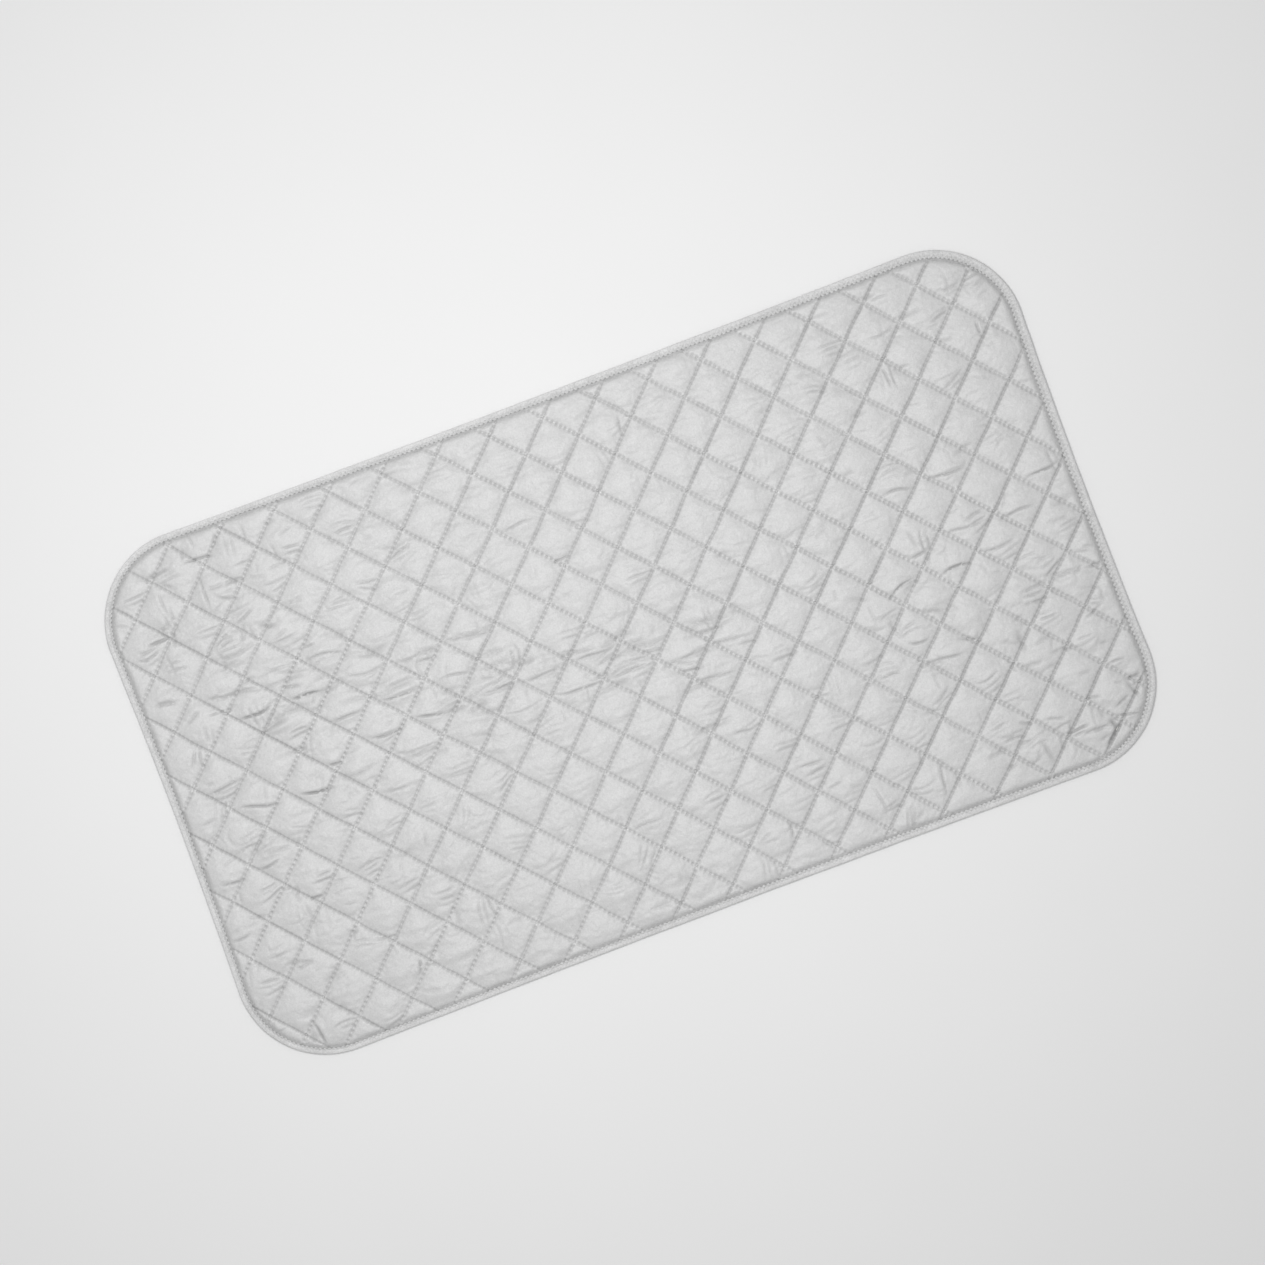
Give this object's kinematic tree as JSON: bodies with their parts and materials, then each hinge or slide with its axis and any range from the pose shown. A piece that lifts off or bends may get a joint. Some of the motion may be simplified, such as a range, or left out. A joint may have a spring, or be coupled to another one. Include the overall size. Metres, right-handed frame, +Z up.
{
  "type": "ironing pad",
  "caption": "Flat quilted ironing pad with rounded corners: coated face cloth, wadding and backing quilted in diamonds, a sewn edge binding and corner magnets.",
  "frame": {"origin": "middle of the pad's outline, on the surface that the pad lies on", "axes": "+X along the pad's long side, +Y across it to the back edge, +Z up through the ironing face"},
  "size_m": [0.85, 0.48, 0.0071],
  "materials": {
    "face_cloth": "woven cotton with a silver-grey heat-reflecting coating, soft sheen",
    "wadding": "needled off-white felt wadding",
    "backing_cloth": "plain woven polyester cotton, matt",
    "binding_tape": "folded woven tape, matt",
    "thread": "spun polyester sewing thread",
    "magnet": "nickel-plated disc magnet"
  },
  "bodies": {
    "root": {"backing_cloth": "backing_cloth", "wadding": "wadding", "face_cloth": "face_cloth", "edge_binding": "binding_tape", "binding_needle_thread": "thread", "binding_bobbin_thread": "thread", "magnet_front_left": "magnet", "magnet_front_right": "magnet", "magnet_back_left": "magnet", "magnet_back_right": "magnet", "quilting_needle_thread_01": "thread", "quilting_needle_thread_02": "thread", "quilting_needle_thread_03": "thread", "quilting_needle_thread_04": "thread", "quilting_needle_thread_05": "thread", "quilting_needle_thread_06": "thread", "quilting_needle_thread_07": "thread", "quilting_needle_thread_08": "thread", "quilting_needle_thread_09": "thread", "quilting_needle_thread_10": "thread", "quilting_needle_thread_11": "thread", "quilting_needle_thread_12": "thread", "quilting_needle_thread_13": "thread", "quilting_needle_thread_14": "thread", "quilting_needle_thread_15": "thread", "quilting_needle_thread_16": "thread", "quilting_needle_thread_17": "thread", "quilting_bobbin_thread_01": "thread", "quilting_bobbin_thread_02": "thread", "quilting_bobbin_thread_03": "thread", "quilting_bobbin_thread_04": "thread", "quilting_bobbin_thread_05": "thread", "quilting_bobbin_thread_06": "thread", "quilting_bobbin_thread_07": "thread", "quilting_bobbin_thread_08": "thread", "quilting_bobbin_thread_09": "thread", "quilting_bobbin_thread_10": "thread", "quilting_bobbin_thread_11": "thread", "quilting_bobbin_thread_12": "thread", "quilting_bobbin_thread_13": "thread", "quilting_bobbin_thread_14": "thread", "quilting_bobbin_thread_15": "thread", "quilting_bobbin_thread_16": "thread", "quilting_bobbin_thread_17": "thread"}
  },
  "joints": []
}
